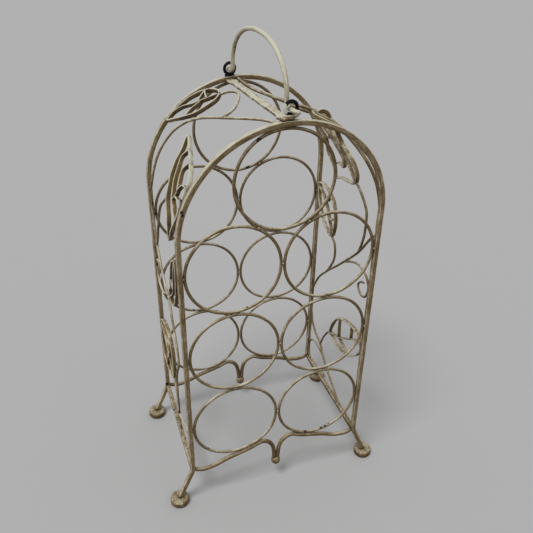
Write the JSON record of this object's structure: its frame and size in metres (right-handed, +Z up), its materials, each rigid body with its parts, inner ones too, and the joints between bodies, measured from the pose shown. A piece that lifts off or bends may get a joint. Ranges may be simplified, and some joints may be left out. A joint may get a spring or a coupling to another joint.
{
  "type": "wine rack",
  "caption": "Free-standing arched wine rack of painted wrought iron with round bottle rings, vine ornament on both sides, button feet and a swinging bail handle.",
  "frame": {"origin": "on the floor under the middle of the rack, midway between the feet in both directions", "axes": "+Z up, -Y out of the front frame, the one nearer the viewer in the picture, +X to that viewer's right"},
  "size_m": [0.284, 0.1867, 0.5583],
  "materials": {
    "arch_bar": "distressed cream and brown paint, worn dark at welds",
    "foot": "distressed cream paint",
    "ring": "distressed cream and brown paint, worn dark at welds",
    "rail": "distressed cream and brown paint",
    "finial": "distressed cream and brown paint",
    "side_bar": "distressed cream paint",
    "ridge_bar": "distressed cream paint",
    "handle_eye": "black paint, half gloss",
    "bail_handle": "cream paint",
    "vine_stem": "distressed cream and brown paint",
    "vine_leaf": "distressed cream and brown paint"
  },
  "bodies": {
    "rack": {"front_arch_bar": "arch_bar", "back_arch_bar": "arch_bar", "front_left_foot": "foot", "front_right_foot": "foot", "back_left_foot": "foot", "back_right_foot": "foot", "front_lower_left_ring": "ring", "front_lower_right_ring": "ring", "front_middle_left_ring": "ring", "front_middle_right_ring": "ring", "front_upper_left_ring": "ring", "front_upper_right_ring": "ring", "back_lower_left_ring": "ring", "back_lower_right_ring": "ring", "back_middle_left_ring": "ring", "back_middle_right_ring": "ring", "back_upper_left_ring": "ring", "back_upper_right_ring": "ring", "front_top_ring": "ring", "back_top_ring": "ring", "front_left_rail": "rail", "front_right_rail": "rail", "back_left_rail": "rail", "back_right_rail": "rail", "front_ball_finial": "finial", "back_ball_finial": "finial", "left_side_bar": "side_bar", "right_side_bar": "side_bar", "ridge_bar": "ridge_bar", "front_handle_eye": "handle_eye", "back_handle_eye": "handle_eye", "left_main_stem": "vine_stem", "left_roof_stem": "vine_stem", "left_pointed_leaf": "vine_leaf", "left_pointed_leaf_stem": "vine_stem", "left_shoulder_leaf": "vine_leaf", "left_shoulder_leaf_stem": "vine_stem", "left_round_leaf": "vine_leaf", "left_round_leaf_stem": "vine_stem", "left_roof_leaf": "vine_leaf", "left_roof_leaf_stem": "vine_stem", "left_tendril": "vine_stem", "left_bottom_hook": "vine_stem", "right_main_stem": "vine_stem", "right_roof_stem": "vine_stem", "right_pointed_leaf": "vine_leaf", "right_pointed_leaf_stem": "vine_stem", "right_shoulder_leaf": "vine_leaf", "right_shoulder_leaf_stem": "vine_stem", "right_round_leaf": "vine_leaf", "right_round_leaf_stem": "vine_stem", "right_roof_leaf": "vine_leaf", "right_roof_leaf_stem": "vine_stem", "right_tendril": "vine_stem", "right_bottom_hook": "vine_stem"},
    "bail": {"bail_handle": "bail_handle"}
  },
  "joints": [
    {"name": "handle_swing", "type": "hinge", "parent": "rack", "child": "bail", "pos_m": [-0.00345, 0, 0.50031], "axis": [-0.0744, 0.9972, -0.0092], "range_deg": [-95, 95]}
  ]
}
